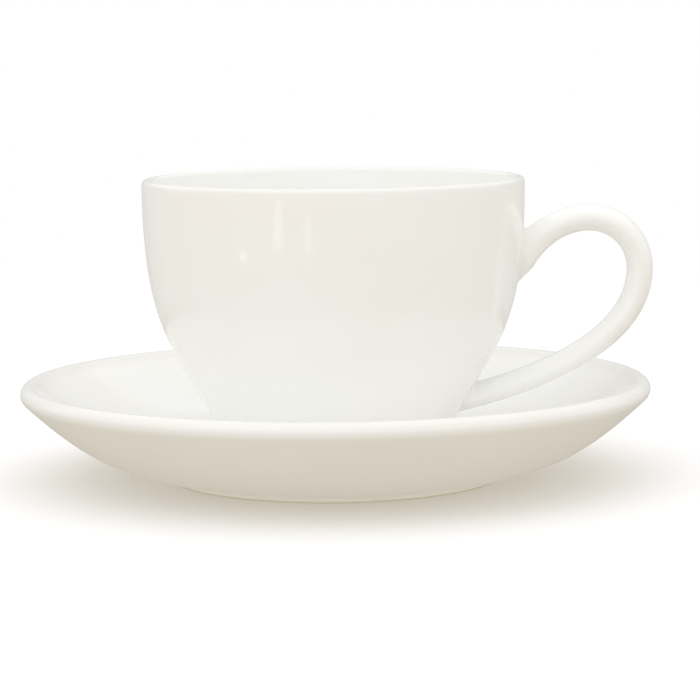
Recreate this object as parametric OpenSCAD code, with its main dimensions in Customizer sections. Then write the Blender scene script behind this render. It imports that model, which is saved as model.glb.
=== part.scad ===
// Teacup with a loop handle, standing in the well of its saucer.
// All three pieces are white bone china. The saucer's foot ring stands on the table at height 0,
// the upright through the origin is the axis of cup and saucer, and the handle points along +X.

/* [Saucer] */
// Diameter across the lip
saucer_d = 150; // [130:1:170]
// Height of the lip above the table
saucer_h = 23.6; // [19:0.2:29]
// Thickness of the rounded lip
saucer_lip = 4.5; // [3.5:0.1:5.5]
// Slope of the wall below the lip, in degrees from level
saucer_slope = 44; // [34:1:54]
// Thickness of the floor that the cup stands on
saucer_floor = 4.2; // [3:0.1:6]
// Diameter of the foot ring
saucer_foot_d = 79; // [70:1:90]
// Height of the foot ring
saucer_foot_h = 2.3; // [1.6:0.1:4]
// Width of the foot ring
saucer_foot_w = 4; // [3:0.1:6]
// Depth of the well that keeps the cup in the middle
well_depth = 1; // [0.6:0.1:2]
// Gap around the cup's foot in the well
well_gap = 1; // [0.5:0.1:3]

/* [Cup bowl] */
// Diameter across the lip
cup_d = 90.8; // [84:0.2:98]
// Height from the foot to the lip
cup_h = 65; // [58:0.5:72]
// Thickness of the rounded lip
cup_lip = 2.2; // [1.6:0.1:3]
// Thickness of the wall above the foot
cup_wall = 3.4; // [2.4:0.1:5]
// Thickness of the floor
cup_floor = 3.6; // [2.6:0.1:6]
// Slope of the wall above the foot, in degrees from level
cup_slope = 62; // [52:1:70]
// Diameter of the foot ring
cup_foot_d = 54; // [46:1:58]
// Height of the foot ring outside
cup_foot_h = 4.6; // [3:0.1:6]
// Depth of the hollow inside the foot ring
cup_hollow = 2.2; // [1.4:0.1:3]
// Width of the foot ring
cup_foot_w = 3; // [2.4:0.1:5]

/* [Cup handle] */
// Reach of the handle beyond the lip
handle_reach = 30.5; // [26:0.1:36]
// Drop from the lip to the top of the handle
handle_drop = 7.1; // [4:0.1:9]
// Radius of the bend at the top, to the middle of the handle
handle_bend = 12; // [10:0.1:14]
// Thickness around the bend, in the plane of the loop
handle_t = 6.2; // [5:0.1:8]
// Thickness of the lower arm, in the plane of the loop
handle_low_t = 5.8; // [4.6:0.1:8]
// Thickness of the flared upper root, in the plane of the loop
handle_root_t = 8.2; // [7:0.1:12]
// Width of the handle, across the plane of the loop
handle_w = 8.4; // [6:0.1:11]
// Width of both roots, across the plane of the loop
handle_root_w = 12; // [9:0.1:16]
// Fillet where the roots spread onto the wall
handle_fillet = 0.9; // [0.5:0.1:1.5]
// Drop from the lip to the middle of the upper root
handle_upper = 18.8; // [16:0.1:22]
// Rise from the cup's foot to the middle of the lower root
handle_lower = 12; // [11:0.1:16]
// Climb of the upper arm where it leaves the wall, in degrees from level
handle_upper_angle = 45; // [35:1:52]
// Climb of the lower arm where it leaves the wall, in degrees from level
handle_lower_angle = 14; // [8:1:28]

/* [Hidden] */
$fn = 144;
china = "#f3efe6";

// Number of straight steps along a wall and along a rounding
WALL_STEPS = 22;
ROUND_STEPS = 6;
// Number of sides round the handle, and of steps along its stretches
HANDLE_SIDES = 24;
SUNK_STEPS = 6;
UPPER_STEPS = 14;
BEND_STEPS = 12;
LOWER_STEPS = 28;

// How far each end of a curve keeps its direction, as a share of the straight line between them
SAUCER_PULL = [0.27, 0.52];
CUP_PULL = [0.37, 0.59];
UPPER_ARM_PULL = [0.15, 0.48];
LOWER_ARM_PULL = [0.39, 0.19];

// Rounding of a foot ring's edges, held within these shares of the ring's width and height
FOOT_ROUND = 0.8;
FOOT_ROUND_SHARE = [0.3, 0.35];
function foot_round(w, h) = min(FOOT_ROUND, FOOT_ROUND_SHARE[0] * w, FOOT_ROUND_SHARE[1] * h);

// Where the cup stands, and the middle of its rounded lip
cup_z = saucer_foot_h + saucer_floor;
cup_lip_z = cup_h - cup_lip / 2;

function mix(a, b, t) = a + (b - a) * t;
function unit(v) = v / norm(v);
function turn(angle) = [cos(angle), sin(angle)];
function left_of(v) = [-v[1], v[0]];
function reversed(list) = [for (i = [len(list) - 1:-1:0]) list[i]];

// Corners of the cubic curve that leaves a towards a_dir and comes to b along b_dir
function bend_corners(a, a_dir, b, b_dir, pull) =
    let (span = norm(b - a))
    [a, a + pull[0] * span * a_dir, b - pull[1] * span * b_dir, b];

// Point and direction at t, from 0 to 1, on a cubic curve
function curve_point(c, t) =
    pow(1 - t, 3) * c[0] + 3 * pow(1 - t, 2) * t * c[1] + 3 * (1 - t) * t * t * c[2] + t * t * t * c[3];
function curve_dir(c, t) =
    unit(pow(1 - t, 2) * (c[1] - c[0]) + 2 * (1 - t) * t * (c[2] - c[1]) + t * t * (c[3] - c[2]));

function curve(c, steps) = [for (i = [0:steps]) curve_point(c, i / steps)];
function arc(centre, r, from, to) =
    [for (i = [0:ROUND_STEPS]) centre + r * turn(mix(from, to, i / ROUND_STEPS))];

// Point beside a curve, on its left, where the wall's thickness goes from thick[0] to thick[1]
function beside(c, thick, t) = curve_point(c, t) + mix(thick[0], thick[1], t) * left_of(curve_dir(c, t));

// Outline of a foot ring, from the hollow inside it to its outer side
function foot_ring(r, w, hollow) =
    let (e = foot_round(w, hollow), inner = r - w)
    concat(
        arc([inner - e, hollow - e], e, 90, 0),
        arc([inner + e, e], e, 180, 270),
        arc([r - e, e], e, 270, 360)
    );

// Saucer: its underside runs from the foot ring's fillet out to the lip
saucer_foot_r = saucer_foot_d / 2;
saucer_fillet = foot_round(saucer_foot_w, saucer_foot_h);
saucer_lip_centre = [saucer_d / 2 - saucer_lip / 2, saucer_h - saucer_lip / 2];
saucer_under = bend_corners(
    [saucer_foot_r + saucer_fillet, saucer_foot_h],
    [1, 0],
    saucer_lip_centre - saucer_lip / 2 * left_of(turn(saucer_slope)),
    turn(saucer_slope),
    SAUCER_PULL
);
saucer_thick = [saucer_floor + well_depth, saucer_lip];

// Well: its side rises in a soft step from the floor
well_r = cup_foot_d / 2 + well_gap;
well_side = [
    [well_r, cup_z],
    [well_r + well_depth, cup_z],
    [well_r + well_depth, cup_z + well_depth],
    [well_r + 2 * well_depth, cup_z + well_depth]
];

// Cup: its wall runs from the foot ring up to the lip, and heights count from the cup's own foot
cup_foot_r = cup_foot_d / 2;
cup_outer = bend_corners(
    [cup_foot_r, cup_foot_h],
    turn(cup_slope),
    [cup_d / 2, cup_lip_z],
    [0, 1],
    CUP_PULL
);
cup_thick = [cup_wall, cup_lip];
cup_outer_points = curve(cup_outer, WALL_STEPS);

// Inside, the wall turns into the floor from this share of its length, in a curve from the axis
CUP_TURN = 0.2;
CUP_TURN_PULL = [0.55, 0.3];
cup_turn_point = beside(cup_outer, cup_thick, CUP_TURN);
cup_bottom = bend_corners(
    [0, cup_hollow + cup_floor],
    [1, 0],
    cup_turn_point,
    curve_dir(cup_outer, CUP_TURN),
    CUP_TURN_PULL
);

// The wall's inner side, from the lip down to that turn
cup_inner_points = [
    for (i = [WALL_STEPS:-1:0]) beside(cup_outer, cup_thick, mix(CUP_TURN, 1, i / WALL_STEPS))
];

// Radius of the cup's outer wall at height z above its foot, and the way that the wall faces there,
// taken over a short stretch to each side
WALL_STRETCH = 1;
function cup_wall_r(z) = lookup(z, [for (p = cup_outer_points) [p[1], p[0]]]);
function cup_wall_normal(z) =
    unit([2 * WALL_STRETCH, cup_wall_r(z - WALL_STRETCH) - cup_wall_r(z + WALL_STRETCH)]);

// Handle: its middle line in the plane of the loop, from the upper root over the bend to the lower root
handle_bend_centre = [
    cup_d / 2 + handle_reach - handle_t / 2 - handle_bend,
    cup_h - handle_drop - handle_t / 2 - handle_bend
];
upper_root = [cup_wall_r(cup_h - handle_upper), cup_h - handle_upper];
lower_root = [cup_wall_r(handle_lower), handle_lower];
upper_arm = bend_corners(
    upper_root,
    turn(handle_upper_angle),
    handle_bend_centre + [0, handle_bend],
    [1, 0],
    UPPER_ARM_PULL
);
lower_arm = bend_corners(
    handle_bend_centre + [handle_bend, 0],
    [0, -1],
    lower_root,
    -turn(handle_lower_angle),
    LOWER_ARM_PULL
);

// Share of an arm's length at step i, with the rings closer together towards its root
RING_CROWDING = 1.4;
function graded(i, steps) = pow(i / steps, RING_CROWDING);

// How soon the flare of each root dies away along its arm, as a power, and the share of the lower arm
// over which it thins
UPPER_FLARE = 2.5;
LOWER_FLARE = 3;
THINNING_SHARE = 0.5;

// One ring of the handle: middle, direction, thickness and width
function upper_ring(t) =
    let (flare = pow(1 - t, UPPER_FLARE))
    [
        curve_point(upper_arm, t),
        curve_dir(upper_arm, t),
        mix(handle_t, handle_root_t, flare),
        mix(handle_w, handle_root_w, flare)
    ];
function bend_ring(t) =
    let (angle = mix(90, 0, t))
    [handle_bend_centre + handle_bend * turn(angle), turn(angle - 90), handle_t, handle_w];
function lower_ring(t) =
    [
        curve_point(lower_arm, t),
        curve_dir(lower_arm, t),
        mix(handle_t, handle_low_t, min(1, t / THINNING_SHARE)),
        mix(handle_w, handle_root_w, pow(t, LOWER_FLARE))
    ];

// A root's ring moved along its own direction, so that both ends run on past the wall they are cut to
handle_sunk = handle_root_t + handle_fillet;
function moved(ring, way) = [ring[0] + way * ring[1], ring[1], ring[2], ring[3]];

handle_rings = concat(
    [for (i = [SUNK_STEPS:-1:1]) moved(upper_ring(0), -handle_sunk * i / SUNK_STEPS)],
    [for (i = [0:UPPER_STEPS - 1]) upper_ring(graded(i, UPPER_STEPS))],
    [for (i = [0:BEND_STEPS - 1]) bend_ring(i / BEND_STEPS)],
    [for (i = [LOWER_STEPS:-1:0]) lower_ring(1 - graded(i, LOWER_STEPS))],
    [for (i = [1:SUNK_STEPS]) moved(lower_ring(1), handle_sunk * i / SUNK_STEPS)]
);

// Point in space that lies beside the middle of a ring: side is in the plane of the loop, then across it
function beside_ring(ring, side) =
    let (p = ring[0] + side[0] * left_of(ring[1]))
    [p[0], side[1], p[1]];

// Spread of the root at a point this far from the wall: most on the side that leans towards the wall,
// and nothing beyond the fillet's reach, which is given as a multiple of the fillet
FILLET_REACH = 3;
function root_spread(ring, side, gap) =
    let (
        lean = -unit(side)[0] * (left_of(ring[1]) * cup_wall_normal(ring[0][1])),
        near = max(0, 1 - max(0, gap) / (FILLET_REACH * handle_fillet))
    )
    handle_fillet * (1 + lean) * near * near;

// Oval outline of a ring, drawn out near the wall
function ring_points(ring) =
    [for (k = [0:HANDLE_SIDES - 1])
        let (
            angle = 360 * k / HANDLE_SIDES,
            side = [cos(angle) * ring[2] / 2, sin(angle) * ring[3] / 2],
            p = beside_ring(ring, side),
            gap = norm([p[0], p[1]]) - cup_wall_r(p[2])
        )
        beside_ring(ring, side + root_spread(ring, side, gap) * unit(side))
    ];

// Solid with an oval section that follows the rings, closed at both ends
module swept(rings) {
    last = len(rings) - 1;
    points = [for (ring = rings) each ring_points(ring)];
    sides = [for (j = [0:last - 1], k = [0:HANDLE_SIDES - 1])
        let (
            next = (k + 1) % HANDLE_SIDES,
            here = j * HANDLE_SIDES,
            there = here + HANDLE_SIDES
        )
        each [
            [here + k, there + next, here + next],
            [here + k, there + k, there + next]
        ]
    ];
    first_end = [for (k = [0:HANDLE_SIDES - 1]) k];
    last_end = [for (k = [HANDLE_SIDES - 1:-1:0]) last * HANDLE_SIDES + k];
    polyhedron(points, concat(sides, [first_end, last_end]));
}

// The cup's outer form, filled, which the handle's roots are cut to
module cup_filled() {
    rotate_extrude()
        polygon(concat([[0, 0], [cup_foot_r, 0]], cup_outer_points, [[0, cup_lip_z]]));
}

module saucer() {
    color(china)
        rotate_extrude()
            polygon(concat(
                [[0, saucer_foot_h]],
                foot_ring(saucer_foot_r, saucer_foot_w, saucer_foot_h),
                arc(
                    [saucer_foot_r + saucer_fillet, saucer_foot_h - saucer_fillet],
                    saucer_fillet, 180, 90
                ),
                curve(saucer_under, WALL_STEPS),
                arc(saucer_lip_centre, saucer_lip / 2, saucer_slope - 90, saucer_slope + 90),
                [for (i = [WALL_STEPS:-1:0]) beside(saucer_under, saucer_thick, i / WALL_STEPS)],
                reversed(curve(well_side, ROUND_STEPS)),
                [[0, cup_z]]
            ));
}

module cup_bowl() {
    color(china)
        translate([0, 0, cup_z])
            rotate_extrude()
                polygon(concat(
                    [[0, cup_hollow]],
                    foot_ring(cup_foot_r, cup_foot_w, cup_hollow),
                    cup_outer_points,
                    arc([cup_d / 2 - cup_lip / 2, cup_lip_z], cup_lip / 2, 0, 180),
                    cup_inner_points,
                    reversed(curve(cup_bottom, 2 * ROUND_STEPS))
                ));
}

module cup_handle() {
    color(china)
        translate([0, 0, cup_z])
            difference() {
                swept(handle_rings);
                cup_filled();
            }
}

saucer();
cup_bowl();
cup_handle();
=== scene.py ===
"""Teacup and saucer in white bone china, on a plain white stage.

Fine turned meshes stand for the saucer and the cup's bowl, and a fine swept mesh for the cup's handle.
Lengths are in metres and angles in radians, in the frame of the solids: +Z up, +X towards the handle.
"""

import math

import bpy
import numpy as np
from bpy.props import FloatProperty, FloatVectorProperty, PointerProperty
from mathutils import Matrix, Vector


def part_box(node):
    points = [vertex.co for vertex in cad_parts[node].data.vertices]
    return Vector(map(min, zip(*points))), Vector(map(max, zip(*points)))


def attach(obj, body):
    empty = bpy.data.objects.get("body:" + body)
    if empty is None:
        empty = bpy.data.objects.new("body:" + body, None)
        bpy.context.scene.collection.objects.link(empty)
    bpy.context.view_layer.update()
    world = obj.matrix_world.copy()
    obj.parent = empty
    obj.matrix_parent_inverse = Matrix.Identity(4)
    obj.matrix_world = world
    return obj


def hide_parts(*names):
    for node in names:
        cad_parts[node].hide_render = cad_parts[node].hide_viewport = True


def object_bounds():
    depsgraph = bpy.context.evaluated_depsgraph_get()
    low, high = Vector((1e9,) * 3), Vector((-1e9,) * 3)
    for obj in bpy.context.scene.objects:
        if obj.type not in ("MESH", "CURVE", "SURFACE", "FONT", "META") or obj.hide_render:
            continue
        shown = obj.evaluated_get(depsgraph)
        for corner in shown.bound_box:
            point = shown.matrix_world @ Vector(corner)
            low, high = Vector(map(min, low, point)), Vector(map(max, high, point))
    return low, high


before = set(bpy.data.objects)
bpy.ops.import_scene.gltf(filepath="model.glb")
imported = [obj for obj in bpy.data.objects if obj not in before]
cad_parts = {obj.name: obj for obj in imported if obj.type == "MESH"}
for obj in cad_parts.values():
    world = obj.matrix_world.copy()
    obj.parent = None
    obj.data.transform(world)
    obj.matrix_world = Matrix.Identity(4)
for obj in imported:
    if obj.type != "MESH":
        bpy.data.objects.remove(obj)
CAD_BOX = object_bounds()

bl_info = {
    "name": "Teacup and Saucer",
    "version": (1, 0, 0),
    "blender": (4, 5, 0),
    "location": "View3D > Sidebar > Teacup",
    "description": "Makes a bone-china teacup and its saucer, with a stage to show them on",
    "category": "Add Mesh",
}

# Heights that the solids give: the saucer's lip, the cup's foot in the well and the cup's lip
SAUCER_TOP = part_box("saucer")[1].z
CUP_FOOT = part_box("cup_bowl")[0].z
CUP_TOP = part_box("cup_bowl")[1].z

# Fineness of the meshes: steps round a turned piece, along a wall and along a small rounding
TURN_STEPS = 224
WALL_STEPS = 84
ROUND_STEPS = 12
# Fineness of the handle: lines along it, steps of a line, and steps of its ends and of its middle line
HANDLE_LINES = 72
HANDLE_STEPS = 150
END_STEPS = 10
STATION_STEPS = 160
# Points of the cup's wall that the handle's roots look up, and the least step between points of an outline
WALL_POINTS = 672
LEAST_STEP = 1e-7

# How far each end of a curve keeps its direction, as a share of the straight line between them
SAUCER_PULL = (0.27, 0.52)
WELL_PULL = (0.45, 0.45)
CUP_PULL = (0.37, 0.59)
CUP_BOTTOM_PULL = (0.55, 0.3)
UPPER_ARM_PULL = (0.15, 0.48)
LOWER_ARM_PULL = (0.39, 0.19)
# Share of the wall's length at which the cup's inner side turns into its floor
CUP_TURN = 0.2

# Rounding of a foot ring's edges, held within these shares of the ring's width and height
FOOT_ROUND = 0.0008
FOOT_ROUND_SHARE = (0.3, 0.35)

# How soon each root's flare dies away along its arm, as a power, and the lower arm's share that thins
UPPER_FLARE = 2.5
LOWER_FLARE = 3.0
THINNING_SHARE = 0.5
# How a root's fillet grows on the side that leans towards the wall, and shrinks above and below
FILLET_LEAN = 0.26
FILLET_SHRINK = 0.8
# How deep a root's edge dips under the wall's glaze, and how far it runs on as it dips
DIP_DEPTH = 0.00025
DIP_RUN = 0.0012
# How much closer the steps of the handle lie at its ends than in its middle, from 0 to 1
END_CROWDING = 0.8

# Reach of the darker colour in a crease: partly glaze that pools there, partly painted crease shade
POOL_AND_SHADE_REACH = 0.0016


def linear(red, green, blue):
    """A colour given as on a screen, from 0 to 255, in the linear form that shaders take."""
    shares = [part / 255 for part in (red, green, blue)]
    return tuple(s / 12.92 if s <= 0.04045 else ((s + 0.055) / 1.055) ** 2.4 for s in shares)


def length(name, description, default):
    """A property that holds a length."""
    return FloatProperty(
        name=name, description=description, default=default, min=0, precision=4, unit="LENGTH"
    )


def angle(name, description, degrees):
    """A property that holds an angle, whose default is given in degrees."""
    return FloatProperty(
        name=name, description=description, default=math.radians(degrees), subtype="ANGLE", unit="ROTATION"
    )


def share(name, description, default):
    """A property that holds a share, from 0 to 1."""
    return FloatProperty(
        name=name, description=description, default=default, min=0, max=1, subtype="FACTOR"
    )


def level(name, description, default):
    """A property that holds a brightness, where 1 shows a colour about as it is written."""
    return FloatProperty(name=name, description=description, default=default, min=0)


def colour(name, description, screen):
    """A property that holds a colour, whose default is given as on a screen."""
    return FloatVectorProperty(
        name=name, description=description, default=linear(*screen), min=0, max=1, size=3, subtype="COLOR"
    )


class SaucerSizes(bpy.types.PropertyGroup):
    """Sizes of the saucer."""

    diameter: length("Diameter", "Across the lip", 0.150)
    height: length("Height", "From the table to the top of the lip", SAUCER_TOP)
    lip: length("Lip", "Thickness of the rounded lip", 0.0045)
    slope: angle("Slope", "Rise of the wall below the lip, from level", 44)
    foot_diameter: length("Foot diameter", "Across the foot ring", 0.079)
    foot_height: length("Foot height", "Height of the foot ring", 0.0023)
    foot_width: length("Foot width", "Width of the foot ring", 0.004)
    well_depth: length("Well depth", "Depth of the well that keeps the cup in the middle", 0.001)
    well_gap: length("Well gap", "Gap around the cup's foot in the well", 0.001)


class CupSizes(bpy.types.PropertyGroup):
    """Sizes of the cup's bowl."""

    diameter: length("Diameter", "Across the lip", 0.0908)
    height: length("Height", "From the foot to the lip", CUP_TOP - CUP_FOOT)
    lip: length("Lip", "Thickness of the rounded lip", 0.0022)
    wall: length("Wall", "Thickness of the wall above the foot", 0.0034)
    floor: length("Floor", "Thickness of the floor", 0.0036)
    slope: angle("Slope", "Rise of the wall above the foot, from level", 62)
    foot_diameter: length("Foot diameter", "Across the foot ring", 0.054)
    foot_height: length("Foot height", "Height of the foot ring outside", 0.0046)
    foot_width: length("Foot width", "Width of the foot ring", 0.003)
    hollow: length("Hollow", "Depth of the hollow inside the foot ring", 0.0022)


class HandleSizes(bpy.types.PropertyGroup):
    """Sizes of the cup's handle."""

    reach: length("Reach", "How far the handle stands out beyond the lip", 0.0305)
    drop: length("Drop", "From the lip down to the top of the handle", 0.0071)
    bend: length("Bend", "Radius of the bend at the top, to the middle of the handle", 0.012)
    thickness: length("Thickness", "Around the bend, in the plane of the loop", 0.0062)
    low_thickness: length("Low thickness", "Along the lower arm, in the plane of the loop", 0.0058)
    root_thickness: length("Root thickness", "At the flared upper root, in the plane of the loop", 0.0082)
    width: length("Width", "Across the plane of the loop", 0.0084)
    root_width: length("Root width", "At both roots, across the plane of the loop", 0.012)
    fillet: length("Fillet", "Where the sides of the roots spread onto the wall", 0.0019)
    upper: length("Upper root", "From the lip down to the middle of the upper root", 0.0188)
    lower: length("Lower root", "From the cup's foot up to the middle of the lower root", 0.012)
    upper_angle: angle("Upper angle", "Climb of the upper arm where it leaves the wall", 45)
    lower_angle: angle("Lower angle", "Climb of the lower arm where it leaves the wall", 14)


class ChinaLook(bpy.types.PropertyGroup):
    """Colours and finish of the china."""

    body: colour("Body", "Glazed bone china", (251, 251, 249))
    cloud: colour("Cloud", "Faint clouds where the body fired a little warmer", (250, 249, 245))
    # Darker colour of the creases: partly glaze that pools there, partly painted crease shade
    pool: colour("Pooled glaze", "Glaze that gathered in a crease", (246, 244, 238))
    # Darker colour on the lip's top: painted shade that tones down the lit lip
    lip_shade: colour("Thin glaze", "Glaze that ran thin over a lip", (242, 240, 236))
    biscuit: colour("Biscuit", "Bare fired clay on the foot rings", (226, 217, 200))
    speck: colour("Speck", "Tiny fired specks under the glaze", (196, 181, 154))
    gloss: share("Gloss roughness", "Roughness of the glaze", 0.11)
    biscuit_roughness: share("Biscuit roughness", "Roughness of the bare clay", 0.62)
    ripple: length("Ripple", "Height of the glaze's soft ripple", 0.000012)


class StageLook(bpy.types.PropertyGroup):
    """Floor, light and camera."""

    floor: colour("Floor", "White floor as it is seen", (252, 252, 252))
    bounce: colour("Bounce", "Warm light that the table throws back up", (215, 207, 193))
    glow: share("Glow", "How much of the bounce comes from a lit table, also in the shade", 0.85)
    back_card: colour("Back card", "Grey card that the glaze mirrors along its edges", (212, 211, 208))
    low_card: colour("Low card", "Warm card that the glaze mirrors from below", (198, 192, 180))
    floor_size: length("Floor size", "Across the round floor", 14.0)
    sky: level("Sky", "Brightness of the sky overhead", 1.17)
    horizon: level("Horizon", "Brightness of the sky at the horizon", 0.82)
    front: level("Front", "How much brighter the sky is on the camera's side", 0.14)
    key: level("Key", "Brightness of the large softbox up on the left", 0.3)
    streak: level("Streak", "Brightness of the slim lamps that show as streaks in the glaze", 1.7)
    camera_distance: length("Camera distance", "From the cup's axis to the camera", 0.6634)
    camera_height: length("Camera height", "From the table up to the camera", 0.1112)
    camera_aside: length("Camera aside", "From the cup's axis sideways to the camera", 0.0036)
    camera_pitch: angle("Camera pitch", "Downward look of the camera", 6.76)
    camera_roll: angle("Camera roll", "Tilt of the camera about its line of sight", -0.62)
    lens: FloatProperty(
        name="Lens", description="Focal length in millimetres", default=143.8, min=10, unit="CAMERA"
    )


def heading(radians):
    """Direction in a plane, as an angle from level."""
    return np.array([math.cos(radians), math.sin(radians)])


def left_of(ways):
    """Directions turned a quarter turn to the left."""
    return np.stack([-ways[..., 1], ways[..., 0]], -1)


def unit(vectors):
    """Vectors with their length made 1."""
    return vectors / np.linalg.norm(vectors, axis=-1, keepdims=True)


def eased(t):
    """Smooth step from 0 to 1 as t goes from 0 to 1."""
    t = np.clip(t, 0, 1)
    return t * t * (3 - 2 * t)


class Bend:
    """Cubic curve that leaves one point in a direction and comes to another along a direction."""

    def __init__(self, start, start_way, end, end_way, pull):
        start, start_way, end, end_way = (np.array(v, float) for v in (start, start_way, end, end_way))
        span = np.linalg.norm(end - start)
        self.corners = (start, start + pull[0] * span * start_way, end - pull[1] * span * end_way, end)

    def at(self, t):
        """Points of the curve at shares t of its run."""
        a, b, c, d = self.corners
        t = np.atleast_1d(t)[:, None]
        return (1 - t) ** 3 * a + 3 * (1 - t) ** 2 * t * b + 3 * (1 - t) * t**2 * c + t**3 * d

    def way(self, t):
        """Directions of the curve at shares t of its run."""
        a, b, c, d = self.corners
        t = np.atleast_1d(t)[:, None]
        return unit((1 - t) ** 2 * (b - a) + 2 * (1 - t) * t * (c - b) + t**2 * (d - c))

    def beside(self, t, start_thick, end_thick):
        """Points on the curve's left, at the far side of a wall whose thickness changes along it."""
        thick = start_thick + (end_thick - start_thick) * np.atleast_1d(t)[:, None]
        return self.at(t) + thick * left_of(self.way(t))


def rounding(centre, radius, start, end):
    """Points of an arc between two angles in degrees."""
    turns = np.radians(np.linspace(start, end, ROUND_STEPS + 1))
    return np.array(centre) + radius * np.stack([np.cos(turns), np.sin(turns)], -1)


def foot_rounding(width, height):
    """Radius that rounds a foot ring of this size."""
    return min(FOOT_ROUND, FOOT_ROUND_SHARE[0] * width, FOOT_ROUND_SHARE[1] * height)


def foot_ring(radius, width, hollow):
    """Outline of a foot ring, from the hollow inside it to its outer side."""
    edge = foot_rounding(width, hollow)
    inner = radius - width
    return [
        rounding((inner - edge, hollow - edge), edge, 90, 0),
        rounding((inner + edge, edge), edge, 180, 270),
        rounding((radius - edge, edge), edge, 270, 360),
    ]


def joined(stretches):
    """One outline from stretches of points, without points that repeat the one before."""
    points = np.concatenate([np.atleast_2d(s) for s in stretches])
    steps = np.linalg.norm(np.diff(points, axis=0), axis=1)
    return points[np.concatenate([[True], steps > LEAST_STEP])]


def saucer_outline(saucer, cup):
    """Half section of the saucer, from the axis below round the lip to the axis above, and its creases."""
    foot = saucer.foot_diameter / 2
    fillet = foot_rounding(saucer.foot_width, saucer.foot_height)
    lip = saucer.lip / 2
    lip_centre = np.array([saucer.diameter / 2 - lip, saucer.height - lip])
    rise = heading(saucer.slope)
    wall_end = lip_centre - lip * left_of(rise)
    under = Bend((foot + fillet, saucer.foot_height), (1, 0), wall_end, rise, SAUCER_PULL)
    floor = CUP_FOOT - saucer.foot_height
    well = cup.foot_diameter / 2 + saucer.well_gap
    step = saucer.well_depth
    well_side = Bend((well, CUP_FOOT), (1, 0), (well + 2 * step, CUP_FOOT + step), (1, 0), WELL_PULL)
    down = np.linspace(1, 0, WALL_STEPS + 1)
    outline = joined([
        (0, saucer.foot_height),
        *foot_ring(foot, saucer.foot_width, saucer.foot_height),
        rounding((foot + fillet, saucer.foot_height - fillet), fillet, 180, 90),
        under.at(down[::-1]),
        rounding(lip_centre, lip, math.degrees(saucer.slope) - 90, math.degrees(saucer.slope) + 90),
        under.beside(down, floor + step, saucer.lip),
        well_side.at(np.linspace(1, 0, 2 * ROUND_STEPS + 1)),
        (0, CUP_FOOT),
    ])
    foot_creases = [(radius, saucer.foot_height) for radius in (foot, foot - saucer.foot_width)]
    return outline, [*foot_creases, (well, CUP_FOOT)]


def cup_wall(cup):
    """Outer side of the cup's wall from the foot ring up to the lip, where heights count from the table."""
    foot = (cup.foot_diameter / 2, CUP_FOOT + cup.foot_height)
    lip = (cup.diameter / 2, CUP_FOOT + cup.height - cup.lip / 2)
    return Bend(foot, heading(cup.slope), lip, (0, 1), CUP_PULL)


def cup_outline(cup):
    """Half section of the bowl, from the axis below round the lip to the axis inside, and its creases."""
    foot = cup.foot_diameter / 2
    wall = cup_wall(cup)
    lip_centre = wall.corners[-1] - (cup.lip / 2, 0)
    turn_point = wall.beside(CUP_TURN, cup.wall, cup.lip)[0]
    bottom = Bend(
        (0, CUP_FOOT + cup.hollow + cup.floor), (1, 0), turn_point, wall.way(CUP_TURN)[0], CUP_BOTTOM_PULL
    )
    outline = joined([
        (0, CUP_FOOT + cup.hollow),
        *[stretch + (0, CUP_FOOT) for stretch in foot_ring(foot, cup.foot_width, cup.hollow)],
        wall.at(np.linspace(0, 1, WALL_STEPS + 1)),
        rounding(lip_centre, cup.lip / 2, 0, 180),
        wall.beside(np.linspace(1, CUP_TURN, WALL_STEPS + 1), cup.wall, cup.lip),
        bottom.at(np.linspace(1, 0, WALL_STEPS // 2 + 1)),
    ])
    return outline, [(foot, CUP_FOOT + cup.foot_height), (foot - cup.foot_width, CUP_FOOT + cup.hollow)]


def turned(outline):
    """Vertices and faces of an outline of radii and heights, spun about the axis that its ends are on."""
    turns = np.linspace(0, 2 * math.pi, TURN_STEPS, endpoint=False)
    radii, heights = outline[1:-1].T
    rings = np.stack(
        [
            np.outer(radii, np.cos(turns)),
            np.outer(radii, np.sin(turns)),
            np.outer(heights, np.ones(TURN_STEPS)),
        ],
        -1,
    )
    vertices = np.concatenate([[(0, 0, outline[0, 1])], rings.reshape(-1, 3), [(0, 0, outline[-1, 1])]])
    number = 1 + np.arange(rings.shape[0] * TURN_STEPS).reshape(rings.shape[:2])
    beside = np.roll(number, -1, axis=1)
    faces = grid_faces(number, beside)
    faces += [(0, b, a) for a, b in zip(number[0], beside[0])]
    faces += [(len(vertices) - 1, a, b) for a, b in zip(number[-1], beside[-1])]
    return vertices, faces


def grid_faces(number, beside):
    """Four-sided faces between rows of numbered vertices, where beside numbers each one's neighbour."""
    corners = np.stack([number[:-1], beside[:-1], beside[1:], number[1:]], -1)
    return [tuple(face) for face in corners.reshape(-1, 4).tolist()]


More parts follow.
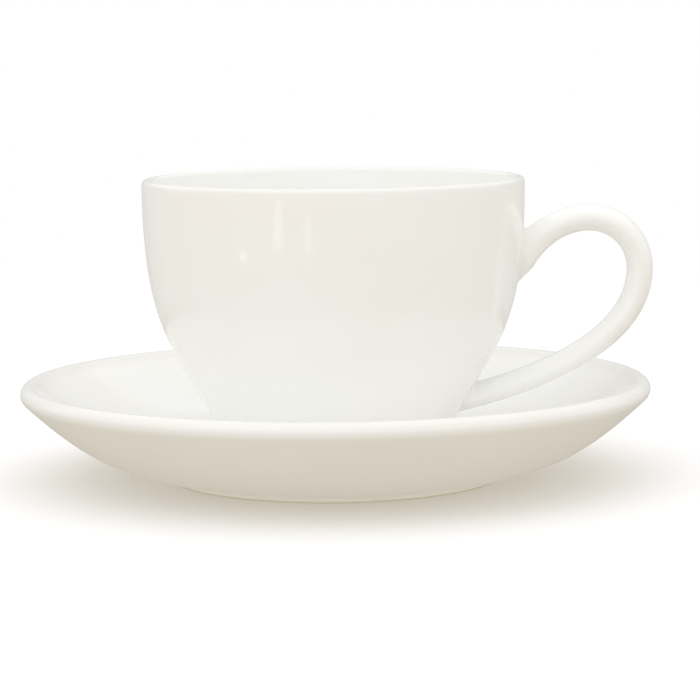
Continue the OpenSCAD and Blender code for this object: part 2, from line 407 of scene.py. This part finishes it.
class HandleLine:
    """Middle line of the handle with its section, from inside the upper root to inside the lower root."""

    def __init__(self, handle, cup):
        wall = cup_wall(cup)
        lip = np.array([cup.diameter / 2, CUP_FOOT + cup.height])
        inset = handle.thickness / 2 + handle.bend
        centre = lip + (handle.reach - inset, -handle.drop - inset)
        self.wall_points = wall.at(np.linspace(0, 1, WALL_POINTS))
        upper_root = self.root(lip[1] - handle.upper)
        lower_root = self.root(CUP_FOOT + handle.lower)
        upper_way = heading(handle.upper_angle)
        lower_way = -heading(handle.lower_angle)
        upper = Bend(upper_root, upper_way, centre + (0, handle.bend), (1, 0), UPPER_ARM_PULL)
        lower = Bend(centre + (handle.bend, 0), (0, -1), lower_root, lower_way, LOWER_ARM_PULL)
        run = np.linspace(0, 1, STATION_STEPS, endpoint=False)
        to_root = np.linspace(0, 1, STATION_STEPS + 1)
        sunk = np.linspace(handle.root_thickness + handle.fillet, 0, STATION_STEPS, endpoint=False)[:, None]
        turns = math.pi / 2 * (1 - run)
        arc = np.stack([np.cos(turns), np.sin(turns)], -1)
        upper_flare = (1 - run) ** UPPER_FLARE
        thinning = eased(to_root / THINNING_SHARE)
        same = np.ones(STATION_STEPS)
        self.middle = np.concatenate([
            upper_root - sunk * upper_way,
            upper.at(run),
            centre + handle.bend * arc,
            lower.at(to_root),
            lower_root + sunk[::-1] * lower_way,
        ])
        self.thickness = np.concatenate([
            same * handle.root_thickness,
            handle.thickness + (handle.root_thickness - handle.thickness) * upper_flare,
            same * handle.thickness,
            handle.thickness + (handle.low_thickness - handle.thickness) * thinning,
            same * handle.low_thickness,
        ])
        self.width = np.concatenate([
            same * handle.root_width,
            handle.width + (handle.root_width - handle.width) * upper_flare,
            same * handle.width,
            handle.width + (handle.root_width - handle.width) * to_root**LOWER_FLARE,
            same * handle.root_width,
        ])
        self.along = np.concatenate([[0], np.cumsum(np.linalg.norm(np.diff(self.middle, axis=0), axis=1))])
        self.way = unit(np.gradient(self.middle, self.along, axis=0))
        # The top of the bend parts the stations that face the upper root from those that face the lower one
        self.parting = 2 * STATION_STEPS

    def wall_radius(self, heights):
        """Radius of the cup's outer side at these heights."""
        return np.interp(heights, self.wall_points[:, 1], self.wall_points[:, 0])

    def wall_facing(self, points):
        """Directions that the cup's outer side faces beside these points."""
        heights = points[..., 2]
        tilt = np.interp(heights, self.wall_points[:, 1], np.gradient(*self.wall_points.T))
        out = unit(points[..., :2])
        return unit(np.concatenate([out, -tilt[..., None]], -1))

    def root(self, height):
        """Point of the wall that a root is centred on."""
        return np.array([self.wall_radius(height), height])

    def between(self, places, values):
        """Values of the stations, at places along the middle line."""
        return np.interp(places, self.along, values)

    def surface(self, places, turns):
        """Points of the oval at places along the handle and angles round it, and its middle there."""
        middle = np.stack([self.between(places, self.middle[:, i]) for i in (0, 1)], -1)
        way = unit(np.stack([self.between(places, self.way[:, i]) for i in (0, 1)], -1))
        beside = left_of(way) * (np.cos(turns) * self.between(places, self.thickness) / 2)[..., None]
        across = np.sin(turns) * self.between(places, self.width) / 2
        at = middle + beside
        points = np.stack([at[..., 0], across, at[..., 1]], -1)
        return points, np.stack([middle[..., 0], np.zeros_like(across), middle[..., 1]], -1)

    def gap(self, points):
        """Distance of points from the wall, along the radius."""
        return np.linalg.norm(points[..., :2], axis=-1) - self.wall_radius(points[..., 2])


def handle_mesh(handle, cup):
    """Vertices, faces and darker crease colour of the handle, partly pooled glaze and partly painted crease
    shade, whose roots spread onto the wall in fillets.
    """
    line = HandleLine(handle, cup)
    turns = np.linspace(0, 2 * math.pi, HANDLE_LINES, endpoint=False)
    stations = np.broadcast_to(line.along[:, None], (len(line.along), HANDLE_LINES))
    every_point, every_middle = line.surface(stations, turns)
    gaps = line.gap(every_point)
    upper = slice(0, line.parting)
    lower = slice(len(line.along) - 1, line.parting, -1)

    def place(stretch, k, gap):
        """Place along line k, on one arm, that lies this far from the wall."""
        return np.interp(gap, gaps[stretch, k], line.along[stretch])

    def end_rows(stretch):
        """Rows of points of one root, from the fillet's start to the dip under the wall's glaze.

        Also the places along the handle at which the fillet starts, and the rows' darker fillet colour:
        partly pooled glaze, partly painted crease shade.
        """
        touch = np.array([place(stretch, k, 0) for k in range(HANDLE_LINES)])
        point, middle = line.surface(touch, turns)
        lean = -np.sum(unit(point - middle) * line.wall_facing(point), -1)
        radius = handle.fillet * (1 + FILLET_LEAN * lean - FILLET_SHRINK * lean**2)
        bow = np.radians(np.linspace(0, 90, END_STEPS + 1))[:, None]
        dip = np.linspace(0, 1, END_STEPS // 2 + 1)[1:, None]
        far = np.concatenate([radius * (1 - np.sin(bow)), -DIP_DEPTH * dip**2 * np.ones(HANDLE_LINES)])
        spread = np.concatenate([radius * (1 - np.cos(bow)), radius + DIP_RUN * dip])
        places = np.array([[place(stretch, k, g) for k, g in enumerate(row)] for row in far])
        points, middles = line.surface(places, np.broadcast_to(turns, places.shape))
        facing = line.wall_facing(points)
        side = points - middles
        side = unit(side - np.sum(side * facing, -1, keepdims=True) * facing)
        points = points + spread[..., None] * side
        reach = line.wall_radius(points[..., 2]) + far
        points[..., :2] = unit(points[..., :2]) * reach[..., None]
        # Painted crease shade, partly pooled glaze: darkest midway round the fillet, none where it meets
        # the wall
        pooled_and_shaded = np.concatenate([np.sin(2 * bow), 0 * dip]) * np.ones(HANDLE_LINES)
        return points, places[0], pooled_and_shaded

    upper_points, start, upper_pooled_and_shaded = end_rows(upper)
    lower_points, end, lower_pooled_and_shaded = end_rows(lower)
    run = np.linspace(0, 1, HANDLE_STEPS + 1)[1:-1, None]
    crowded = run - END_CROWDING * np.sin(2 * math.pi * run) / (2 * math.pi)
    core_turns = np.broadcast_to(turns, (len(run), HANDLE_LINES))
    core, _ = line.surface(start + (end - start) * crowded, core_turns)
    rows = np.concatenate([upper_points[::-1], core, lower_points])
    pooled_and_shaded = np.concatenate([upper_pooled_and_shaded[::-1], np.zeros(core.shape[:2]), lower_pooled_and_shaded])
    caps = [rows[0].mean(0), rows[-1].mean(0)]
    vertices = np.concatenate([rows.reshape(-1, 3), caps])
    number = np.arange(rows.shape[0] * HANDLE_LINES).reshape(rows.shape[:2])
    beside = np.roll(number, -1, axis=1)
    faces = grid_faces(beside, number)
    faces += [(len(vertices) - 2, a, b) for a, b in zip(number[0], beside[0])]
    faces += [(len(vertices) - 1, b, a) for a, b in zip(number[-1], beside[-1])]
    return vertices, faces, np.concatenate([pooled_and_shaded.ravel(), [0, 0]])


def nearness(vertices, spots, reach):
    """How near each vertex of a turned piece lies to a spot of its section: 1 at a spot, 0 beyond reach."""
    section = np.stack([np.linalg.norm(vertices[:, :2], axis=1), vertices[:, 2]], -1)
    nearest = np.min([np.linalg.norm(section - spot, axis=1) for spot in spots], axis=0)
    return eased(1 - nearest / reach)


def turned_glaze_and_shade(vertices, creases, sizes, top):
    """Colour masks of a turned piece: its darker creases, partly pooled glaze and partly painted crease
    shade, and the painted shade on its lip's top.
    """
    lip_top = ((sizes.diameter - sizes.lip) / 2, top)
    return {
        "pooled_and_shaded": nearness(vertices, creases, POOL_AND_SHADE_REACH),
        # Painted shade on the lip's top
        "lip_shade": nearness(vertices, [lip_top], sizes.lip),
    }


def make_object(name, vertices, faces):
    """A smooth mesh object in the scene, in place of any that had its name."""
    old = bpy.data.objects.get(name)
    if old is not None:
        bpy.data.objects.remove(old)
    mesh = bpy.data.meshes.new(name)
    mesh.from_pydata(vertices.tolist(), [], faces)
    if mesh.validate():
        raise RuntimeError(f"the mesh of {name} has faces that don't hold together")
    mesh.shade_smooth()
    thing = bpy.data.objects.new(name, mesh)
    bpy.context.scene.collection.objects.link(thing)
    return thing


def make_piece(name, vertices, faces, glaze, finish, body):
    """One piece of the set, which carries its colour masks of pooled glaze with painted crease shade and of
    painted lip shade, rides on its body and stands for its solid.
    """
    piece = make_object(f"{name}_glazed", vertices, faces)
    for state, values in glaze.items():
        attribute = piece.data.attributes.new(state, "FLOAT", "POINT")
        attribute.data.foreach_set("value", values.astype(np.float32))
    piece.data.materials.append(finish)
    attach(piece, body)
    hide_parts(name)


class Value:
    """A node's output socket; Python's operators on it add Math nodes."""

    def __init__(self, nodes, socket):
        self.nodes = nodes
        self.socket = socket

    def out(self, name):
        """Another output of the same node."""
        return Value(self.nodes, found(self.socket.node.outputs, name))

    def math(self, operation, first, second):
        """A Math node of two values."""
        inputs = {"Value": first, "Value_001": second}
        return self.nodes.add("ShaderNodeMath", {"operation": operation}, inputs)

    def __add__(self, other):
        return self.math("ADD", self, other)

    def __radd__(self, other):
        return self.math("ADD", other, self)

    def __sub__(self, other):
        return self.math("SUBTRACT", self, other)

    def __rsub__(self, other):
        return self.math("SUBTRACT", other, self)

    def __mul__(self, other):
        return self.math("MULTIPLY", self, other)

    def __rmul__(self, other):
        return self.math("MULTIPLY", other, self)

    def __lt__(self, other):
        return self.math("LESS_THAN", self, other)

    def __or__(self, other):
        return self.math("MAXIMUM", self, other)


def found(sockets, name):
    """The socket with this name or identifier."""
    for socket in sockets:
        if name in (socket.identifier, socket.name):
            return socket
    raise KeyError(f"no socket named {name} among {[s.name for s in sockets]}")


class Nodes:
    """The nodes of one material, or of the world."""

    def __init__(self, owner):
        owner.use_nodes = True
        self.tree = owner.node_tree
        self.tree.nodes.clear()

    def add(self, kind, settings, inputs):
        """A node of this type: its settings are made first, then its inputs get values or links."""
        node = self.tree.nodes.new(kind)
        for name, setting in settings.items():
            setattr(node, name, setting)
        for name, value in inputs.items():
            socket = found(node.inputs, name)
            if isinstance(value, Value):
                self.tree.links.new(value.socket, socket)
            else:
                socket.default_value = value
        return Value(self, node.outputs[0]) if node.outputs else None

    def mixed(self, portion, first, second):
        """A colour that goes from the first to the second as portion goes from 0 to 1."""
        inputs = {"Factor_Float": portion, "A_Color": first, "B_Color": second}
        return self.add("ShaderNodeMix", {"data_type": "RGBA"}, inputs).out("Result_Color")

    def ramp(self, value, start, end):
        """A smooth step from 0 to 1 as value goes from start to end."""
        inputs = {"Value": value, "From Min": start, "From Max": end}
        return self.add("ShaderNodeMapRange", {"interpolation_type": "SMOOTHSTEP"}, inputs)

    def noise(self, place, scale, detail):
        """Soft noise from 0 to 1, with this many waves to a metre."""
        return self.add("ShaderNodeTexNoise", {}, {"Vector": place, "Scale": scale, "Detail": detail})

    def seen(self):
        """1 for the rays that show the background: those of the camera, and mirrored or refracted ones."""
        path = self.add("ShaderNodeLightPath", {}, {})
        return path.out("Is Camera Ray") | path.out("Is Glossy Ray") | path.out("Is Transmission Ray")


def fresh_material(name):
    """A material of this name, in place of any that had it."""
    old = bpy.data.materials.get(name)
    if old is not None:
        bpy.data.materials.remove(old)
    return bpy.data.materials.new(name)


def opaque(screen_colour):
    """A colour with full alpha, as a colour socket takes it."""
    return (*screen_colour, 1)


# Waves to a metre of the china's patterns
CLOUD_WAVES = 26
MIST_WAVES = 70
RIPPLE_WAVES = 150
PEEL_WAVES = 520
GRAIN_WAVES = 2600
SPECK_CELLS = 150
# Share of the cells that hold a speck, and its size as a share of a cell
SPECK_SHARE = 0.02
SPECK_SIZE = (0.02, 0.045)
# Levels of the noise between which a cloud grows, and how strongly clouds, specks and the darker crease
# colour show; that colour is partly pooled glaze and partly painted crease shade
CLOUD_EDGES = (0.35, 0.7)
CLOUD_STRENGTH = 0.7
SPECK_STRENGTH = 0.35
POOL_AND_SHADE_STRENGTH = 0.8
# Height of the bare ring on which a foot stands, and over which the glaze ends
BARE_HEIGHT = (0.00015, 0.00055)
# Rise and fall of the glaze's roughness
MIST_STRENGTH = 0.04
# Heights of the fine patterns as shares of the ripple
PEEL_SHARE = 0.22
GRAIN_SHARE = 1.2
PIT_SHARE = 0.8
# How strongly the glaze bends light
GLAZE_IOR = 1.5


def china(name, foot, look):
    """Bone china under a clear glaze, left bare on the ring that stands at the height of the foot."""
    material = fresh_material(name)
    nodes = Nodes(material)
    place = nodes.add("ShaderNodeTexCoord", {}, {}).out("Object")
    height = nodes.add("ShaderNodeSeparateXYZ", {}, {"Vector": place}).out("Z")
    pooled_and_shaded = nodes.add("ShaderNodeAttribute", {"attribute_name": "pooled_and_shaded"}, {}).out("Fac")
    lip_shade = nodes.add("ShaderNodeAttribute", {"attribute_name": "lip_shade"}, {}).out("Fac")
    bare = 1 - nodes.ramp(height, foot + BARE_HEIGHT[0], foot + BARE_HEIGHT[1])

    cells = nodes.add("ShaderNodeTexVoronoi", {}, {"Vector": place, "Scale": SPECK_CELLS})
    chance = nodes.add("ShaderNodeSeparateColor", {}, {"Color": cells.out("Color")}).out("Red")
    speck = (1 - nodes.ramp(cells.out("Distance"), *SPECK_SIZE)) * (chance < SPECK_SHARE)

    cloud = nodes.ramp(nodes.noise(place, CLOUD_WAVES, 2), *CLOUD_EDGES)
    shade = nodes.mixed(cloud * CLOUD_STRENGTH, opaque(look.body), opaque(look.cloud))
    # Darker colour in the creases: partly pooled glaze, partly painted crease shade
    shade = nodes.mixed(pooled_and_shaded * POOL_AND_SHADE_STRENGTH, shade, opaque(look.pool))
    # Painted shade on the lip's top, which tones down the lit lip
    shade = nodes.mixed(lip_shade, shade, opaque(look.lip_shade))
    shade = nodes.mixed(speck * SPECK_STRENGTH, shade, opaque(look.speck))
    shade = nodes.mixed(bare, shade, opaque(look.biscuit))

    mist = nodes.noise(place, MIST_WAVES, 3)
    glazed = look.gloss + MIST_STRENGTH * (mist - 0.5)
    roughness = glazed + bare * (look.biscuit_roughness - glazed)

    ripple = nodes.noise(place, RIPPLE_WAVES, 1)
    peel = nodes.noise(place, PEEL_WAVES, 1)
    grain = nodes.noise(place, GRAIN_WAVES, 2)
    relief = ripple + PEEL_SHARE * peel + GRAIN_SHARE * (grain * bare) - PIT_SHARE * speck
    normal = nodes.add("ShaderNodeBump", {}, {"Height": relief, "Distance": look.ripple, "Strength": 1})

    shader = nodes.add(
        "ShaderNodeBsdfPrincipled",
        {},
        {"Base Color": shade, "Roughness": roughness, "Normal": normal, "IOR": GLAZE_IOR},
    )
    nodes.add("ShaderNodeOutputMaterial", {}, {"Surface": shader})
    return material


WHITE = (1, 1, 1, 1)
# Distances from the middle at which the lit floor begins to give way to plain white, and is all white
FLOOR_FADE = (0.2, 0.6)
# Rings and spokes of the round floor
FLOOR_RINGS = 24
FLOOR_SPOKES = 96


def floor_finish(look):
    """A white floor that keeps shadows near the set and is plain white farther out, over a lit table."""
    material = fresh_material("stage_floor")
    nodes = Nodes(material)
    place = nodes.add("ShaderNodeTexCoord", {}, {}).out("Object")
    far = nodes.add("ShaderNodeVectorMath", {"operation": "LENGTH"}, {"Vector": place}).out("Value")
    seen = nodes.seen()
    lit_colour = nodes.mixed(seen, opaque(look.bounce), opaque(look.floor))
    lit = nodes.add("ShaderNodeBsdfDiffuse", {}, {"Color": lit_colour})
    shine_colour = nodes.mixed(seen, opaque(look.bounce), WHITE)
    shine = nodes.add("ShaderNodeEmission", {}, {"Color": shine_colour})
    portion = look.glow + seen * (nodes.ramp(far, *FLOOR_FADE) - look.glow)
    surface = nodes.add("ShaderNodeMixShader", {}, {"Fac": portion, "Shader": lit, "Shader_001": shine})
    nodes.add("ShaderNodeOutputMaterial", {}, {"Surface": surface})
    return material


def make_floor(look):
    """A round floor, with its rings closer together in the middle."""
    radii = look.floor_size / 2 * (np.arange(1, FLOOR_RINGS + 1) / FLOOR_RINGS) ** 2
    turns = np.linspace(0, 2 * math.pi, FLOOR_SPOKES, endpoint=False)
    heights = np.zeros((FLOOR_RINGS, FLOOR_SPOKES))
    rings = np.stack([np.outer(radii, np.cos(turns)), np.outer(radii, np.sin(turns)), heights], -1)
    vertices = np.concatenate([[(0, 0, 0)], rings.reshape(-1, 3)])
    number = 1 + np.arange(FLOOR_RINGS * FLOOR_SPOKES).reshape(FLOOR_RINGS, FLOOR_SPOKES)
    beside = np.roll(number, -1, axis=1)
    faces = grid_faces(beside, number)
    faces += [(0, a, b) for a, b in zip(number[0], beside[0])]
    floor = make_object("stage_floor", vertices, faces)
    floor.data.materials.append(floor_finish(look))


# Round cards about the set's axis: each edge as radius and height, reach to each side, and steps round them
BACK_CARD = ((0.17, 0), (0.17, 0.125))
BACK_REACH = math.radians(75)
LOW_CARD = ((1.5, 0.002), (0.045, 0.002))
LOW_REACH = math.pi
CARD_STEPS = 48


def make_card(name, edges, middle, reach, shade):
    """A card between two arcs about a middle direction, which shows only as a mirror image in the glaze."""
    turns = np.linspace(middle - reach, middle + reach, CARD_STEPS + 1)
    arc = np.stack([np.cos(turns), np.sin(turns)], -1)
    vertices = np.concatenate([np.insert(radius * arc, 2, height, axis=1) for radius, height in edges])
    number = np.arange(len(vertices)).reshape(2, -1)
    card = make_object(name, vertices, grid_faces(number[:, :-1], number[:, 1:]))
    material = fresh_material(name)
    nodes = Nodes(material)
    glow = nodes.add("ShaderNodeEmission", {}, {"Color": opaque(shade), "Strength": 1})
    nodes.add("ShaderNodeOutputMaterial", {}, {"Surface": glow})
    card.data.materials.append(material)
    card.visible_camera = False
    card.visible_diffuse = False
    card.visible_shadow = False


def make_sky(look):
    """A pale sky that is brighter overhead and in front, and plain white where it is seen."""
    world = bpy.data.worlds.new("studio")
    nodes = Nodes(world)
    direction = nodes.add("ShaderNodeTexCoord", {}, {}).out("Generated")
    axes = nodes.add("ShaderNodeSeparateXYZ", {}, {"Vector": direction})
    glow = look.horizon + (look.sky - look.horizon) * nodes.ramp(axes.out("Z"), 0, 1)
    glow = glow + look.front * ((0 - axes.out("Y")) | 0)
    seen = nodes.seen()
    background = nodes.add(
        "ShaderNodeBackground", {}, {"Color": WHITE, "Strength": glow + seen * (1 - glow)}
    )
    nodes.add("ShaderNodeOutputWorld", {}, {"Surface": background})
    bpy.context.scene.world = world


def make_lamp(name, place, size, brightness):
    """A rectangular soft light, at a place and turn given by a matrix, that the camera doesn't see."""
    lamp = bpy.data.lights.new(name, "AREA")
    lamp.shape = "RECTANGLE"
    lamp.size, lamp.size_y = size
    lamp.energy = brightness * math.pi * size[0] * size[1]
    box = bpy.data.objects.new(name, lamp)
    box.matrix_world = place
    box.visible_camera = False
    bpy.context.scene.collection.objects.link(box)


def facing(place, target):
    """Matrix of a lamp at a place that is turned towards a target."""
    turn = (Vector(target) - Vector(place)).to_track_quat("-Z", "Y")
    return Matrix.Translation(place) @ turn.to_matrix().to_4x4()


# Place and size of the large softbox
KEY_PLACE = (-0.7, -0.75, 1.1)
KEY_SIZE = (0.9, 0.7)
# Slim lamps on the floor in front: turn to the left of the camera's side, width, nearest and farthest
# reach, and brightness as a multiple of the streaks' own
STREAKS = (
    (math.radians(31), 0.036, 0.3, 1.2, 1),
    (math.radians(14), 0.02, 0.27, 0.6, 1),
    (math.radians(51.4), 0.02, 0.262, 0.282, 3.4),
)
STREAK_HEIGHT = 0.004


def make_streaks(look):
    """Lamps that lie on the floor like spokes, and show in the cup's wall as soft upright streaks."""
    for i, (turn, width, near, far, multiple) in enumerate(STREAKS):
        spoke = Matrix.Rotation(-turn, 4, "Z") @ Matrix.Translation((0, -(near + far) / 2, STREAK_HEIGHT))
        upward = Matrix.Rotation(math.pi, 4, "X")
        make_lamp(f"streak_lamp_{i + 1}", spoke @ upward, (width, far - near), multiple * look.streak)


# Width of the camera's sensor in millimetres
SENSOR_WIDTH = 36


def make_camera(look):
    """The camera in front of the set, a little above it and looking slightly down."""
    camera = bpy.data.objects.new("camera", bpy.data.cameras.new("camera"))
    camera.data.lens = look.lens
    camera.data.sensor_width = SENSOR_WIDTH
    place = Matrix.Translation((look.camera_aside, -look.camera_distance, look.camera_height))
    pitch = Matrix.Rotation(math.pi / 2 - look.camera_pitch, 4, "X")
    camera.matrix_world = place @ pitch @ Matrix.Rotation(look.camera_roll, 4, "Z")
    bpy.context.scene.collection.objects.link(camera)
    bpy.context.scene.camera = camera


class TEACUP_OT_saucer(bpy.types.Operator):
    """Turn the saucer and glaze it"""

    bl_idname = "teacup.saucer"
    bl_label = "Make Saucer"

    def execute(self, context):
        scene = context.scene
        outline, creases = saucer_outline(scene.saucer_sizes, scene.cup_sizes)
        vertices, faces = turned(outline)
        finish = china("saucer_china", 0, scene.china_look)
        glaze = turned_glaze_and_shade(vertices, creases, scene.saucer_sizes, scene.saucer_sizes.height)
        make_piece("saucer", vertices, faces, glaze, finish, "saucer")
        return {"FINISHED"}


class TEACUP_OT_cup_bowl(bpy.types.Operator):
    """Turn the cup's bowl and glaze it"""

    bl_idname = "teacup.cup_bowl"
    bl_label = "Make Cup Bowl"

    def execute(self, context):
        scene = context.scene
        outline, creases = cup_outline(scene.cup_sizes)
        vertices, faces = turned(outline)
        finish = china("cup_china", CUP_FOOT, scene.china_look)
        glaze = turned_glaze_and_shade(vertices, creases, scene.cup_sizes, CUP_FOOT + scene.cup_sizes.height)
        make_piece("cup_bowl", vertices, faces, glaze, finish, "cup")
        return {"FINISHED"}


class TEACUP_OT_cup_handle(bpy.types.Operator):
    """Draw the handle out onto the cup's wall and glaze it like the bowl"""

    bl_idname = "teacup.cup_handle"
    bl_label = "Make Cup Handle"

    def execute(self, context):
        scene = context.scene
        vertices, faces, pooled_and_shaded = handle_mesh(scene.handle_sizes, scene.cup_sizes)
        finish = bpy.data.materials["cup_china"]
        make_piece("cup_handle", vertices, faces, {"pooled_and_shaded": pooled_and_shaded}, finish, "cup")
        return {"FINISHED"}


class TEACUP_OT_stage(bpy.types.Operator):
    """Lay the floor, light the set softly and place the camera"""

    bl_idname = "teacup.stage"
    bl_label = "Make Stage"

    def execute(self, context):
        look = context.scene.stage_look
        middle = (CAD_BOX[0] + CAD_BOX[1]) / 2
        make_floor(look)
        make_sky(look)
        make_lamp("key_softbox", facing(KEY_PLACE, middle), KEY_SIZE, look.key)
        make_streaks(look)
        make_card("stage_back_card", BACK_CARD, math.pi / 2, BACK_REACH, look.back_card)
        make_card("stage_low_card", LOW_CARD, -math.pi / 2, LOW_REACH, look.low_card)
        make_camera(look)
        context.scene.view_settings.view_transform = "Standard"
        return {"FINISHED"}


class TEACUP_PT_panel(bpy.types.Panel):
    """Sizes, finish and stage of the teacup and saucer"""

    bl_idname = "TEACUP_PT_panel"
    bl_label = "Teacup and Saucer"
    bl_space_type = "VIEW_3D"
    bl_region_type = "UI"
    bl_category = "Teacup"

    def draw(self, context):
        for title, group_name, operators in PANEL_ROWS:
            box = self.layout.box()
            box.label(text=title)
            group = getattr(context.scene, group_name)
            for name in group.bl_rna.properties.keys():
                if name not in ("rna_type", "name"):
                    box.prop(group, name)
            for operator in operators:
                box.operator(operator.bl_idname)


PANEL_ROWS = (
    ("Saucer", "saucer_sizes", [TEACUP_OT_saucer]),
    ("Cup bowl", "cup_sizes", [TEACUP_OT_cup_bowl]),
    ("Cup handle", "handle_sizes", [TEACUP_OT_cup_handle]),
    ("China", "china_look", []),
    ("Stage", "stage_look", [TEACUP_OT_stage]),
)
GROUPS = {
    "saucer_sizes": SaucerSizes,
    "cup_sizes": CupSizes,
    "handle_sizes": HandleSizes,
    "china_look": ChinaLook,
    "stage_look": StageLook,
}
CLASSES = (
    *GROUPS.values(),
    TEACUP_OT_saucer,
    TEACUP_OT_cup_bowl,
    TEACUP_OT_cup_handle,
    TEACUP_OT_stage,
    TEACUP_PT_panel,
)


def register():
    for cls in CLASSES:
        bpy.utils.register_class(cls)
    for name, group in GROUPS.items():
        setattr(bpy.types.Scene, name, PointerProperty(type=group))


def unregister():
    for name in GROUPS:
        delattr(bpy.types.Scene, name)
    for cls in reversed(CLASSES):
        bpy.utils.unregister_class(cls)


def main():
    register()
    bpy.ops.teacup.saucer()
    bpy.ops.teacup.cup_bowl()
    bpy.ops.teacup.cup_handle()
    bpy.ops.teacup.stage()


if __name__ == "__main__":
    main()
